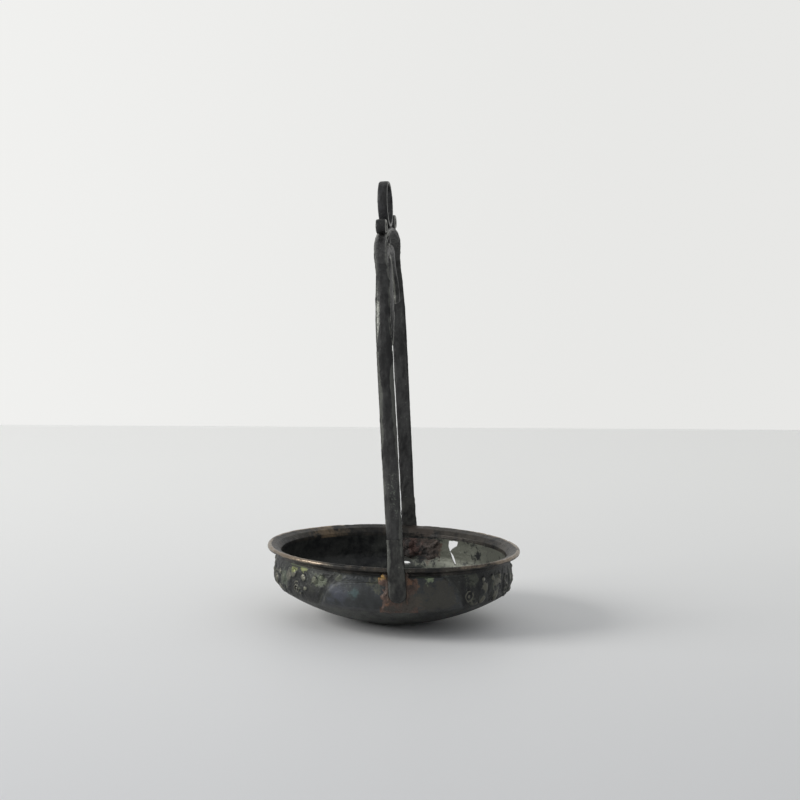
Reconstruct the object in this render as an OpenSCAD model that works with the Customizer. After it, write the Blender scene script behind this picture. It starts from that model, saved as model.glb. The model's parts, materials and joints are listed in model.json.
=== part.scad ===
// Hanging incense burner in cast bronze: a shallow bowl under a tall strap handle with an eye on top.
// Millimetres, +Z up. The origin is on the resting face, on the bowl's axis.
// The handle stands in a plane along X: its front leg is at +X, its rear leg at -X.

/* [Bowl] */
// Outer diameter of the lip
lip_d = 115; // [98:1:140]
// Height of the lip's top above the resting face
bowl_h = 34; // [31:0.5:42]
// Thickness of the cast wall
wall_t = 1.6; // [1.2:0.1:2.2]
// Radius of the flat that the bowl rests on
rest_r = 12; // [8:0.5:16]
// Height of the widest part of the wall
belly_z = 20.8; // [18:0.1:23]
// How far the belly stands out past the neck
belly_swell = 0.9; // [0.3:0.1:1.6]
// Radius of the round between the bottom and the wall
shoulder_round = 9; // [6:0.5:11]
// How far the lip stands out past the neck
lip_overhang = 4.7; // [3.6:0.1:5.6]
// Height of the lip above the neck
lip_h = 4.6; // [4:0.1:5.6]
// Radius of the lip's rounded nose
lip_nose_r = 1.2; // [0.8:0.1:1.5]

/* [Relief] */
// How far a frieze panel stands out from the wall
frieze_t = 0.7; // [0.6:0.1:1.4]
// How far a plain saddle stands out from the wall
saddle_t = 1.0; // [0.6:0.1:1.6]
// Half the width of a saddle at the neck
saddle_top_w = 22.5; // [18:0.5:28]
// Half the width of a saddle at its lower edge
saddle_low_w = 31.5; // [28:0.5:38]
// Width of the sunk line between a saddle and a frieze
groove_w = 1.4; // [0.8:0.1:2.4]
// Height of the lower edge of the relief
relief_z = 13.4; // [12:0.1:15]
// Bosses on each frieze
boss_count = 5; // [3:1:7]
// Radius of a frieze boss
boss_r = 2.9; // [2:0.1:3.6]
// How far a boss stands out from its panel
boss_t = 0.4; // [0.3:0.1:1]
// Width of the largest fault through the wall
hole_w = 4.2; // [3:0.1:5]

/* [Handle] */
// Width of the legs
strap_w = 7; // [5.5:0.1:8.5]
// Thickness of the legs at their crown
strap_t = 2.4; // [1.9:0.1:3.2]
// How far the outer face of the strap is domed
strap_dome = 0.8; // [0.3:0.1:1.2]
// Height of the springing of the arch above the lip
spring_h = 94.3; // [75:0.5:115]
// Rise of the arch above its springing
arch_rise = 50.8; // [46:0.1:58]
// Radius of the haunches of the arch
haunch_r = 42; // [38:0.5:44]
// Width of the arch
crown_w = 5.8; // [4.8:0.1:7]
// Lean of the handle to the side, in degrees
handle_lean = 4.5; // [0:0.1:6]
// How far the handle stands off the bowl's axis
handle_shift = 4; // [0:0.1:5]

/* [Feet] */
// Width of a foot
foot_w = 7.8; // [7:0.1:10]
// Thickness of a foot beside the lip
foot_t = 2.7; // [2.4:0.1:3.4]
// Thickness of a foot at its lower end
foot_end_t = 1.6; // [1.2:0.1:2.4]
// Length of a foot below the lip's top
foot_len = 15.8; // [13:0.1:18]
// Length of a foot above the lip's top
foot_rise = 12.8; // [8:0.1:20]
// Width of the pad under a foot
pad_w = 16.4; // [13:0.1:20]
// Thickness of the pad under a foot
pad_t = 0.8; // [0.5:0.1:1.2]
// Radius of a rivet's shank
rivet_r = 1.1; // [0.8:0.05:1.4]
// Depth of the upper rivet below the lip's top
rivet_top = 8.2; // [7.5:0.1:9]
// Distance between the two rivets of a foot
rivet_gap = 4.6; // [4:0.1:5]
// Thickness of the plate inside the wall
plate_t = 0.8; // [0.5:0.1:1.2]
// Width of a braze fillet
braze_w = 2.2; // [1.2:0.1:3]

/* [Ring and ornament] */
// Outer radius of the hanging ring
ring_r = 10.4; // [8:0.1:13]
// Thickness of the ring's band
ring_t = 1.7; // [1.3:0.1:2.4]
// Width of the ring's band
ring_w = 4.4; // [3.4:0.1:5.2]
// Turn of the ring and the curls away from the handle's plane, in degrees
ring_turn = 4; // [0:1:8]
// Outer radius of a curl
curl_r = 5.1; // [4:0.1:6]
// Width of a curl
curl_w = 4.8; // [3.6:0.1:5.6]
// Distance of a curl's centre from the ring's axis
curl_x = 17.2; // [15.5:0.1:20]
// Thickness of the pendant ornament
pendant_t = 3.2; // [2.4:0.1:4]
// Radius of the boss that the pendant hangs from
knop_r = 4.2; // [3.4:0.1:5]
// Depth of the boss's centre below the top of the arch
knop_drop = 10.5; // [9:0.1:12]
// Depth of the pendant's tip below the top of the arch
drop_len = 54; // [44:0.1:58]
// Greatest width of the pendant's drop
drop_w = 12; // [9:0.1:15]
// Distance of a tendril's tip from the pendant's centre
tendril_x = 41; // [34:0.5:42]
// Depth of a tendril's tip below the top of the arch
tendril_drop = 35.5; // [30:0.5:38]
// Radius of the bud on a tendril's tip
bud_r = 2.6; // [2:0.1:3.2]

/* [Hidden] */
$fn = 96;

lip_r = lip_d / 2;
neck_r = lip_r - lip_overhang;
neck_z = bowl_h - lip_h;
belly_r = neck_r + belly_swell;

// The bottom is a part of a sphere that passes through the rim of the flat and rolls smoothly
// into the shoulder. Its radius is the root of a quadratic.
shoulder_x = belly_r - shoulder_round;
roll_k = pow(shoulder_x, 2) - pow(rest_r, 2) + pow(belly_z, 2) - pow(shoulder_round, 2);
roll_a = 4 * (pow(belly_z, 2) - pow(shoulder_round, 2));
roll_b = 4 * roll_k * shoulder_round;
roll_c = pow(roll_k, 2) + 4 * pow(belly_z * rest_r, 2);
bottom_r = (roll_b + sqrt(pow(roll_b, 2) + 4 * roll_a * roll_c)) / (2 * roll_a);
bottom_z = sqrt(pow(bottom_r, 2) - pow(rest_r, 2));
rest_angle = asin(rest_r / bottom_r);
roll_angle = asin(shoulder_x / (bottom_r - shoulder_round));

leg_in = lip_r - 0.1;
leg_out = leg_in + strap_t;
crown_top = spring_h + arch_rise;
haunch_x = leg_out - haunch_r;
crown_r = (pow(haunch_x, 2) + pow(arch_rise, 2) - pow(haunch_r, 2)) / (2 * (arch_rise - haunch_r));
haunch_turn = atan2(crown_r - arch_rise, haunch_x);

skin_t = saddle_t + pad_t;
skin_r = belly_r + skin_t;
head_t = 0.9;
head_r = 1.9 * rivet_r;
scarf = 0.1;
arch_lap = 1;
reach = lip_r + 10;
relief_top = neck_z - 0.6;
plate_low = bowl_h - foot_len - 0.4;
knop_z = crown_top - knop_drop;

// Points of an arc about (x, z), with angles in degrees from straight down.
function down_arc(x, z, r, from, to, steps) =
    [for (i = [0:steps]) let (a = from + (to - from) * i / steps) [x + r * sin(a), z - r * cos(a)]];

// The bowl's outline from the axis out and up to a height, moved outwards by grow.
function bowl_outline(grow, top) = concat(
    [[0, -grow * cos(rest_angle)]],
    down_arc(0, bottom_z, bottom_r + grow, rest_angle, roll_angle, 14),
    down_arc(shoulder_x, belly_z, shoulder_round + grow, roll_angle, 90, 10),
    [[neck_r + grow, neck_z], [neck_r + grow, top], [0, top]]
);

// The lip's section: a cove rising out of the neck, a round nose and a slope down to the inside.
function lip_outline() = let (
    nose_x = lip_r - lip_nose_r,
    cove_w = lip_overhang - lip_nose_r,
    cove_h = lip_h - 2 * lip_nose_r
) concat(
    [[neck_r - wall_t, neck_z]],
    [for (a = [0:15:90]) [neck_r + cove_w * (1 - cos(a)), neck_z + cove_h * sin(a)]],
    [for (a = [-75:15:90]) [nose_x + lip_nose_r * cos(a), bowl_h - lip_nose_r + lip_nose_r * sin(a)]],
    [[neck_r + 0.3, bowl_h - 1.1], [neck_r - wall_t, bowl_h - 3]]
);

// The strap's section: a flat inner face at x, and an outer face domed across its width.
function strap_section(x, w, t) = let (steps = 8) concat(
    [[x, -w / 2]],
    [for (i = [0:steps]) let (u = 2 * i / steps - 1) [x + t - strap_dome * u * u, u * w / 2]],
    [[x, w / 2]]
);

// A point on a cubic curve with four control points.
function curve_point(p, t) = pow(1 - t, 3) * p[0] + 3 * t * pow(1 - t, 2) * p[1]
    + 3 * t * t * (1 - t) * p[2] + pow(t, 3) * p[3];
function curve_way(p, t) = let (d = curve_point(p, t + 0.01) - curve_point(p, t - 0.01)) d / norm(d);

// Everything that belongs to the handle is drawn with the lip's top at z = 0.
module on_handle() {
    translate([0, handle_shift, bowl_h]) rotate([handle_lean, 0, 0]) children();
}

module rear() {
    mirror([1, 0, 0]) children();
}

// A box in the handle's frame at the front, used to bound what lies under a foot.
module foot_window(w, low, high) {
    on_handle() translate([neck_r * 0.6, -w / 2, -low]) cube([reach, w, low - high]);
}

// A skin that follows the wall, between two distances from it and two heights.
module skin(inner, outer, low, high) {
    rotate_extrude() intersection() {
        difference() {
            polygon(bowl_outline(outer, neck_z));
            polygon(bowl_outline(inner, neck_z));
        }
        translate([0, low]) square([reach, high - low]);
    }
}

// The outline of both saddles, seen along X: narrow at the neck and wide below.
module saddle_window(grow) {
    top_w = saddle_top_w + grow;
    low_w = saddle_low_w + grow;
    mid_z = (relief_z + neck_z) / 2;
    mid_w = (top_w + low_w) / 2 + 1.5;
    translate([-reach, handle_shift / 2, 0]) rotate([90, 0, 90]) linear_extrude(2 * reach)
        polygon([[-low_w, relief_z - 2], [low_w, relief_z - 2], [low_w, relief_z], [mid_w, mid_z],
                 [top_w, neck_z], [-top_w, neck_z], [-mid_w, mid_z], [-low_w, relief_z]]);
}

// A cut through the wall at an angle about the axis: a run of round holes from low to high.
module piercing(from, to, r_low, r_high) {
    steps = 4;
    for (i = [0:steps])
        rotate([0, 0, from[0] + (to[0] - from[0]) * i / steps])
            translate([neck_r - 8, 0, from[1] + (to[1] - from[1]) * i / steps])
                rotate([0, 90, 0]) cylinder(r = r_low + (r_high - r_low) * i / steps, h = 16);
}

// Old casting faults beside the rear foot: a funnel, a slit below it and a small hole under the foot.
module faults() {
    piercing([151.5, bowl_h - 9.6], [151.5, bowl_h - 7.2], 0.9, hole_w / 2);
    piercing([147.5, bowl_h - 15], [151.5, bowl_h - 10.6], 0.6, 0.6);
    rotate([0, 0, 175.5]) translate([neck_r - 8, -1.3, bowl_h - foot_len - 1.6]) cube([16, 2.6, 0.9]);
}

module rivet_holes() {
    for (z = [rivet_top, rivet_top + rivet_gap])
        on_handle() translate([neck_r * 0.6, 0, -z]) rotate([0, 90, 0]) cylinder(r = rivet_r, h = reach);
}

module both_rivet_holes() {
    rivet_holes();
    rear() rivet_holes();
}

module bowl_shell() {
    color("dimgray") difference() {
        rotate_extrude() difference() {
            polygon(bowl_outline(0, neck_z));
            polygon(bowl_outline(-wall_t, neck_z + 1));
        }
        faults();
        both_rivet_holes();
    }
}

module lip_ring() {
    color("gray") rotate_extrude() polygon(lip_outline());
}

// Bosses and upright lobes stand in turn along a frieze.
module frieze_relief() {
    span = 104;
    for (i = [0:boss_count - 1])
        rotate([0, 0, 90 + span * ((i + 0.5) / boss_count - 0.5)])
            translate([belly_r - 2, 0, belly_z]) rotate([0, 90, 0])
                cylinder(r = boss_r, h = 2 + frieze_t + boss_t);
}

module frieze(side) {
    color("darkslategray") difference() {
        intersection() {
            union() {
                skin(0, frieze_t, relief_z, relief_top);
                rotate([0, 0, side > 0 ? 0 : 180]) frieze_relief();
            }
            translate([-reach, side > 0 ? 0 : -reach, 0]) cube([2 * reach, reach, bowl_h]);
        }
        rotate_extrude() polygon(bowl_outline(0, neck_z));
        saddle_window(groove_w);
        faults();
    }
}

module left_frieze() {
    frieze(-1);
}

module right_frieze() {
    frieze(1);
}

module saddle() {
    intersection() {
        skin(0, saddle_t, relief_z, relief_top);
        saddle_window(0);
        translate([0, -reach, 0]) cube([reach, 2 * reach, bowl_h]);
    }
}

module front_saddle() {
    color("slategray") difference() {
        saddle();
        rivet_holes();
    }
}

module rear_saddle() {
    color("slategray") difference() {
        rear() saddle();
        faults();
        rear() rivet_holes();
    }
}

module foot_pad() {
    intersection() {
        skin(saddle_t, skin_t, relief_z, relief_top);
        foot_window(pad_w, bowl_h, -bowl_h);
    }
}

module front_foot_pad() {
    color("peru") difference() {
        foot_pad();
        rivet_holes();
    }
}

module rear_foot_pad() {
    color("peru") difference() {
        rear() foot_pad();
        faults();
        rear() rivet_holes();
    }
}

// The plate inside the wall that the rivets are closed over, from one angle to another.
module inner_plate(from, to) {
    intersection() {
        skin(-wall_t - plate_t, -wall_t, plate_low, relief_top);
        rotate([0, 0, from]) cube([reach, reach, bowl_h]);
        rotate([0, 0, to - 90]) cube([reach, reach, bowl_h]);
    }
}

module front_inner_plate() {
    color("sienna") difference() {
        inner_plate(-5, 12);
        rivet_holes();
    }
}

module rear_inner_plate() {
    color("sienna") difference() {
        rear() inner_plate(-3, 22);
        faults();
        rear() rivet_holes();
    }
}

// The shanks end flush inside the foot. Each has a low head inside the bowl, over the plate.
module rivets() {
    head_x = neck_r - wall_t - plate_t - head_t;
    intersection() {
        rivet_holes();
        difference() {
            rotate_extrude() polygon(bowl_outline(skin_t + foot_end_t / 2, neck_z));
            rotate_extrude() polygon(bowl_outline(-wall_t - plate_t, neck_z));
        }
    }
    intersection() {
        for (z = [rivet_top, rivet_top + rivet_gap])
            on_handle() translate([head_x, 0, -z]) rotate([0, 90, 0])
                cylinder(r1 = rivet_r, r2 = head_r, h = 2 * head_t);
        rotate_extrude() polygon(bowl_outline(-wall_t - plate_t, neck_z));
    }
}

module front_rivets() {
    color("saddlebrown") rivets();
}

module rear_rivets() {
    color("saddlebrown") rear() rivets();
}

module braze() {
    for (side = [-1, 1])
        intersection() {
            skin(skin_t, skin_t + 1, relief_z + 2.5, relief_top);
            on_handle() translate([0, side * (foot_w + braze_w) / 2 - braze_w / 2, -bowl_h])
                cube([reach, braze_w, 2 * bowl_h]);
        }
}

module front_braze() {
    color("chocolate") braze();
}

module rear_braze() {
    color("chocolate") difference() {
        rear() braze();
        faults();
    }
}

// The foot comes down outside the lip, steps in under it and lies on the pad to a round end.
module foot() {
    face_x = skin_r + foot_end_t;
    difference() {
        on_handle() intersection() {
            rotate([90, 0, 0]) translate([0, 0, -foot_w / 2]) linear_extrude(foot_w)
                polygon([[leg_in, foot_rise], [leg_in + foot_t, foot_rise], [leg_in + foot_t, -1.2],
                         [leg_in + foot_t - 0.8, -3.2], [face_x + 0.3, -6.4], [face_x, -9],
                         [face_x, -foot_len], [neck_r - 2, -foot_len], [neck_r - 2, -lip_h - 0.4],
                         [leg_in - 1, -2 * lip_nose_r], [leg_in, -lip_nose_r]]);
            rotate([90, 0, 90]) linear_extrude(reach) union() {
                translate([-foot_w / 2, foot_w / 2 - foot_len]) square([foot_w, reach]);
                translate([0, foot_w / 2 - foot_len]) circle(foot_w / 2);
            }
        }
        rotate_extrude() polygon(lip_outline());
        rotate_extrude() polygon(bowl_outline(0, neck_z));
        rotate_extrude() intersection() {
            polygon(bowl_outline(skin_t, neck_z));
            translate([0, relief_z]) square([reach, relief_top - relief_z]);
        }
        rivets();
    }
}

module front_foot() {
    color("dimgray") foot();
}

module rear_foot() {
    color("dimgray") rear() foot();
}

module leg() {
    on_handle() translate([0, 0, foot_rise]) linear_extrude(spring_h - foot_rise)
        polygon(strap_section(leg_in, strap_w, strap_t));
}

module front_leg() {
    color("dimgray") leg();
}

module rear_leg() {
    color("dimgray") rear() leg();
}

// A three-centred arch: a haunch at each side, and between them a flatter crown, a hair smaller,
// whose ends run a little way into the haunches.
module arch_strap() {
    rotate([90, 0, 0]) {
        for (side = [0, 1])
            mirror([side, 0, 0]) translate([haunch_x, spring_h, 0]) rotate_extrude(angle = haunch_turn)
                polygon(strap_section(haunch_r - strap_t, crown_w, strap_t));
        translate([0, crown_top - crown_r, 0]) rotate([0, 0, haunch_turn - arch_lap])
            rotate_extrude(angle = 180 - 2 * haunch_turn + 2 * arch_lap)
                polygon(strap_section(crown_r - strap_t + scarf, crown_w - 2 * scarf, strap_t - 2 * scarf));
    }
}

// Everything up to the outer face of the arch, which the ring and the curls are cut to sit on.
module arch_bed() {
    arch_strap();
    translate([0, 0, crown_top - crown_r]) rotate([90, 0, 0])
        cylinder(r = crown_r - strap_t / 2, h = 3 * crown_w, center = true);
}

module crown_arch() {
    color("dimgray") on_handle() arch_strap();
}

module hanging_ring() {
    color("gray") on_handle() difference() {
        translate([0, 0, crown_top + ring_r - 0.4]) rotate([90, 0, -ring_turn]) rotate_extrude()
            translate([ring_r - ring_t, -ring_w / 2]) square([ring_t, ring_w]);
        arch_bed();
    }
}

// A strap end rolled into a volute, with a round eye in the middle.
module curl(side) {
    turns = 430;
    steps = 30;
    thick = 0.36 * curl_r;
    angles = [for (i = [0:steps]) 235 - turns * i / steps];
    radii = [for (i = [0:steps]) curl_r * (1 - 0.62 * i / steps)];
    outer = [for (i = [0:steps]) radii[i] * [cos(angles[i]), sin(angles[i])]];
    inner = [for (i = [steps:-1:0]) (radii[i] - thick) * [cos(angles[i]), sin(angles[i])]];
    difference() {
        rotate([0, 0, -ring_turn]) mirror([side, 0, 0])
            translate([curl_x, 0, crown_top + 0.4]) rotate([90, 0, 0]) {
                linear_extrude(curl_w, center = true) polygon(concat(outer, inner));
                cylinder(r = 0.36 * curl_r, h = curl_w, center = true);
            }
        arch_bed();
    }
}

module front_curl() {
    color("dimgray") on_handle() curl(0);
}

module rear_curl() {
    color("dimgray") on_handle() curl(1);
}

module knop_plan() {
    translate([0, knop_z]) circle(knop_r);
}

// A flat piece of the pendant, drawn in the handle's plane.
module pendant_plate() {
    rotate([90, 0, 0]) translate([0, 0, -pendant_t / 2]) linear_extrude(pendant_t) children();
}

module pendant_boss() {
    color("dimgray") on_handle() difference() {
        pendant_plate() {
            knop_plan();
            translate([-knop_r / 2, knop_z]) square([knop_r, crown_top - strap_t / 2 - knop_z]);
        }
        arch_strap();
    }
}

module pendant_drop() {
    top_z = knop_z - knop_r * 0.8;
    length = drop_len - knop_drop - knop_r * 0.8;
    steps = 24;
    right = [for (i = [0:steps]) let (s = 1 - i / steps)
        [drop_w / 2 * sin(180 * pow(s, 1.6)) + 0.9 * s, top_z - length * (1 - s)]];
    left = [for (i = [steps:-1:0]) [-right[i][0], right[i][1]]];
    color("dimgray") on_handle() pendant_plate() difference() {
        polygon(concat(right, left));
        knop_plan();
    }
}

module tendril() {
    tip = [tendril_x, crown_top - tendril_drop];
    bend = [[knop_r * 0.5, knop_z], [knop_r * 0.5 + 15, knop_z + 3], [tip[0] - 3, tip[1] + 11], tip];
    steps = 20;
    edge = function (side) [for (i = [0:steps]) let (t = i / steps, w = curve_way(bend, t))
        curve_point(bend, t) + side * (1.9 - 0.7 * t) * [-w[1], w[0]]];
    lower = edge(-1);
    pendant_plate() translate(tip) circle(bud_r);
    pendant_plate() difference() {
        polygon(concat(edge(1), [for (i = [steps:-1:0]) lower[i]]));
        knop_plan();
    }
}

module front_tendril() {
    color("dimgray") on_handle() tendril();
}

module rear_tendril() {
    color("dimgray") on_handle() rear() tendril();
}

bowl_shell();
lip_ring();
left_frieze();
right_frieze();
front_saddle();
rear_saddle();
front_foot_pad();
rear_foot_pad();
front_inner_plate();
rear_inner_plate();
front_rivets();
rear_rivets();
front_braze();
rear_braze();
front_foot();
rear_foot();
front_leg();
rear_leg();
crown_arch();
hanging_ring();
front_curl();
rear_curl();
pendant_boss();
pendant_drop();
front_tendril();
rear_tendril();
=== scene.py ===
import json
import math

import bpy
import numpy as np
from mathutils import Matrix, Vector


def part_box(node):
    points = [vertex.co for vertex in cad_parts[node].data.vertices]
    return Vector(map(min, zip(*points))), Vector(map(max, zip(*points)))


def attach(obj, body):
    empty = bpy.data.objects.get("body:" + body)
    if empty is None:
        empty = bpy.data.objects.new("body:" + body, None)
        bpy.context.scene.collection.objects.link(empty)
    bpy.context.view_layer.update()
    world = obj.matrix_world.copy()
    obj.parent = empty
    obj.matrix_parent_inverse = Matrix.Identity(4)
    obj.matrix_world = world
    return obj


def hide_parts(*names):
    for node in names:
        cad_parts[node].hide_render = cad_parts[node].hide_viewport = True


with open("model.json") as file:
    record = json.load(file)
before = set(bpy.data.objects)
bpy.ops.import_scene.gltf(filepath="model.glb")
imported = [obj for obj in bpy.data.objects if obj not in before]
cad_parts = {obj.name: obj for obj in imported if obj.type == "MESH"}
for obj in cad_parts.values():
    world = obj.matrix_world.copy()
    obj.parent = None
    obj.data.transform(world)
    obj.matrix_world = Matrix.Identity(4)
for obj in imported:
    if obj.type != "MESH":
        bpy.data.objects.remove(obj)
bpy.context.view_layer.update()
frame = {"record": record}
print("frame loaded")

# Shapes are worked out in millimetres and made in metres.
mm = 0.001
tau = 2 * math.pi
lengthways, crossways = (1.0, 0, 0), (0, 1.0, 0)


def boxOf(node):
    low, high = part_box(node)
    return np.array(low) / mm, np.array(high) / mm


# what the frame says
lipRadius, _, lipTop = boxOf("lip_ring")[1]
bellyRadius, _, neckHeight = boxOf("bowl_shell")[1]
reliefLow, reliefHigh = boxOf("front_saddle")[0][2], boxOf("front_saddle")[1][2]
legIn, legOut = boxOf("front_leg")[0][0], boxOf("front_leg")[1][0]
ringMount = next(m for m in frame["record"]["mounts"] if m["name"] == "hang_ring")
ringAxis, ringPlace = ringMount["axis"], np.array(ringMount["pos_m"]) / mm
handleLean = math.atan2(-ringAxis[2], -ringAxis[1])
ringTurn = math.asin(ringAxis[0])
ringHeight = (ringPlace[2] - lipTop) / math.cos(handleLean)
handleShift = ringPlace[1] + ringHeight * math.sin(handleLean)

bowl = {
    "wall": 1.6,
    "rest": 12.0,
    "shoulder": 9.0,
    "bellyHeight": 20.8,
    "swell": 0.9,
    "lumps": 0.12,
}
strap = {
    "width": 6.85,
    "rearWidthLow": 6.15,
    "rearWidthHigh": 6.55,
    "crownWidth": 5.5,
    "thick": 2.4,
    "dome": 0.8,
    "haunch": 42.0,
    "pits": 0.16,
}
foot = {
    "width": 7.8,
    "topWidth": 6.95,
    "thick": 2.7,
    "endThick": 1.6,
    "length": 15.8,
    "padWidth": 16.4,
    "padThick": 0.8,
    "padBase": 0.92,
    "padUnder": 0.3,
}
neckRadius = bellyRadius - bowl["swell"]
strapSide = 3.5 * math.sin(handleLean)
footRise = (boxOf("front_leg")[0][2] - lipTop + strapSide) / math.cos(handleLean)
springHeight = (boxOf("front_leg")[1][2] - lipTop - strapSide) / math.cos(handleLean)
crownTop = (boxOf("crown_arch")[1][2] - lipTop) / math.cos(handleLean) + 0.08
twist = {"from": 20, "to": 2}


# Carries points from the handle's own frame, with the lip's top at zero, into the object's frame.
# Near its crown the handle is twisted about its own upright, until the ring's turn is reached.
def onHandle(points):
    c, s = math.cos(handleLean), math.sin(handleLean)
    x, y, z = points[..., 0], points[..., 1], points[..., 2]
    turn = ringTurn * smoothStep(z, crownTop - twist["from"], crownTop - twist["to"])
    x, y = x * np.cos(turn) - y * np.sin(turn), x * np.sin(turn) + y * np.cos(turn)
    return np.stack([x, handleShift + y * c - z * s, lipTop + y * s + z * c], -1)


# Puts an object with a mesh, camera or light into the scene.
def placed(name, data):
    thing = bpy.data.objects.new(name, data)
    bpy.context.scene.collection.objects.link(thing)
    return thing


# The matrix of a camera or lamp, from its three directions and its place.
def posed(side, up, back, place):
    return Matrix(np.stack([side, up, back, place], -1).tolist() + [[0, 0, 0, 1]])


# camera, about the middle of the rim
shot = {
    "azimuth": 92.9,
    "elevation": 10.1,
    "distance": 1.186,
    "aimAbove": 0.0665,
    "aimAside": 0.0009,
    "roll": 1.6,
    "lens": 117.0,
}


def makeCamera():
    data = bpy.data.cameras.new("camera")
    data.lens = shot["lens"]
    data.sensor_width = 36
    data.clip_start = 0.05
    camera = placed("camera", data)
    a, e, r = (math.radians(shot[key]) for key in ("azimuth", "elevation", "roll"))
    back = np.array([math.sin(a) * math.cos(e), -math.cos(a) * math.cos(e), math.sin(e)])
    sideways = np.array([math.cos(a), math.sin(a), 0])
    rim = np.array([0, 0, lipTop * mm])
    place = rim + back * shot["distance"]
    aim = rim + np.array([0, 0, shot["aimAbove"]]) + sideways * shot["aimAside"]
    look = (aim - place) / np.linalg.norm(aim - place)
    right = np.cross(look, [0, 0, 1])
    right /= np.linalg.norm(right)
    up = np.cross(right, look)
    # the camera is turned anticlockwise, so the object leans clockwise
    turnedRight = right * math.cos(r) + up * math.sin(r)
    turnedUp = up * math.cos(r) - right * math.sin(r)
    camera.matrix_world = posed(turnedRight, turnedUp, -look, place)
    bpy.context.scene.camera = camera


makeCamera()
print("camera placed")


# Smooth random values from -1 to 1: each lattice corner has a value from a hash of its whole
# numbers, and a point blends the eight corners round it with a smooth step.
def valueNoise(points, seed):
    cell = np.floor(points).astype(np.int64)
    part = points - cell
    part = part * part * (3 - 2 * part)
    total = 0
    for corner in range(8):
        step = np.array([corner & 1, corner >> 1 & 1, corner >> 2 & 1])
        at = cell + step
        key = at[..., 0] * 73856093 ^ at[..., 1] * 19349663 ^ at[..., 2] * 83492791 ^ seed * 2654435761
        key = (key ^ key >> 13) * 1274126177 & 0x7FFFFFFF
        weight = np.prod(np.where(step, part, 1 - part), -1)
        total = total + weight * ((key >> 7) % 4096 / 2047.5 - 1)
    return total


# That noise in several sizes added up, each half as long and about half as strong as the last.
def lumps(points, size, seed, layers=3):
    total, strength = 0, 1
    for layer in range(layers):
        total = total + strength * valueNoise(points / size * 2 ** layer + 17.3 * layer, seed + layer)
        strength /= 2
    return total


def smoothStep(value, low, high):
    t = np.clip((value - low) / (high - low), 0, 1)
    return t * t * (3 - 2 * t)


# Unit normals of a grid, from the cross product of its two directions.
def gridNormals(grid, wrapped=True, looped=False):
    along = (np.roll(grid, -1, 0) - np.roll(grid, 1, 0)) if looped else np.gradient(grid, axis=0)
    around = (np.roll(grid, -1, 1) - np.roll(grid, 1, 1)) if wrapped else np.gradient(grid, axis=1)
    normal = np.cross(along, around)
    return normal / np.maximum(np.linalg.norm(normal, axis=-1, keepdims=True), 1e-12)


# The faces of a grid, row by row.
def gridQuads(rows, columns, looped=False, wrapped=False, first=0):
    i = np.arange(rows if looped else rows - 1)[:, None]
    j = np.arange(columns if wrapped else columns - 1)[None, :]
    below, right = (i + 1) % rows * columns, (j + 1) % columns
    here = i * columns
    return first + np.stack([here + j, here + right, below + right, below + j], -1).reshape(-1, 4)


# Turns the faces outwards, by the sign of the volume that they enclose.
def facesOut(points, quads, fans):
    centred = points - points.mean(0)
    triangles = np.vstack([quads[:, [0, 1, 2]], quads[:, [0, 2, 3]], fans])
    a, b, c = (centred[triangles[:, k]] for k in range(3))
    if (a * np.cross(b, c)).sum() < 0:
        return quads[:, ::-1], fans[:, ::-1]
    return quads, fans


# The two fans that fill the ends of a tube whose middles are its last two points.
def endFans(rows, columns):
    around = np.arange(columns)
    last = around + (rows - 1) * columns
    return np.vstack([
        np.stack([np.full(columns, rows * columns), np.roll(around, -1), around], -1),
        np.stack([np.full(columns, rows * columns + 1), last, np.roll(last, -1)], -1),
    ])


# Makes a piece's mesh with its marks and finish, hangs it on the root body, and hides the parts
# that it stands for.
def makePiece(name, points, quads, fans, look, stands=(), marks=None, sharp=40):
    quads, fans = facesOut(points, quads, fans)
    mesh = bpy.data.meshes.new(name)
    mesh.from_pydata(points * mm, [], quads.tolist() + fans.tolist())
    mesh.polygons.foreach_set("use_smooth", np.ones(len(mesh.polygons), bool))
    for key, value in (marks or {}).items():
        mesh.attributes.new(key, "FLOAT", "POINT").data.foreach_set("value", value.astype(np.float32))
    mesh.set_sharp_from_angle(angle=math.radians(sharp))
    mesh.validate()
    mesh.update()
    mesh.materials.append(look)
    piece = placed(name, mesh)
    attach(piece, "root")
    if stands:
        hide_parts(*stands)
    return piece


# A grid whose rows run along the piece and whose columns go round it. The ends of a piece that
# isn't looped are filled with fans to their middles.
def tubePiece(name, grid, look, stands=(), wearAndSheen=0.0, looped=False, sharp=40):
    rows, columns = grid.shape[:2]
    points = grid.reshape(-1, 3)
    wearAndSheen = np.broadcast_to(wearAndSheen, (rows, columns)).reshape(-1)
    fans = np.zeros((0, 3), int)
    if not looped:
        points = np.vstack([points, grid[:1].mean(1), grid[-1:].mean(1)])
        wearAndSheen = np.append(wearAndSheen, [wearAndSheen[0], wearAndSheen[-1]])
        fans = endFans(rows, columns)
    quads = gridQuads(rows, columns, looped, True)
    return makePiece(name, points, quads, fans, look, stands, {"wearAndSheen": wearAndSheen}, sharp)


# A skin on the wall, between two distances from its outer face, joined along all edges.
def skinPiece(name, angle, height, between, look, node, wearAndSheen, paintedHollowShade=0.0):
    rows, columns = height.shape
    size = rows * columns
    points = np.vstack([offWall(angle, height, far).reshape(-1, 3) for far in between])
    index = np.arange(size).reshape(rows, columns)
    rim = np.concatenate([index[0], index[1:, -1], index[-1, -2::-1], index[-2:0:-1, 0]])
    following = np.roll(rim, -1)
    sides = np.stack([following, rim, rim + size, following + size], -1)
    front = gridQuads(rows, columns)
    quads = np.vstack([front, front[:, ::-1] + size, sides])
    marks = {}
    for key, mark in (("wearAndSheen", wearAndSheen), ("paintedHollowShade", paintedHollowShade)):
        marks[key] = np.append(np.broadcast_to(mark, (rows, columns)), np.zeros(size))
    return makePiece(name, points, quads, np.zeros((0, 3), int), look, [node], marks, 50)


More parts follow.
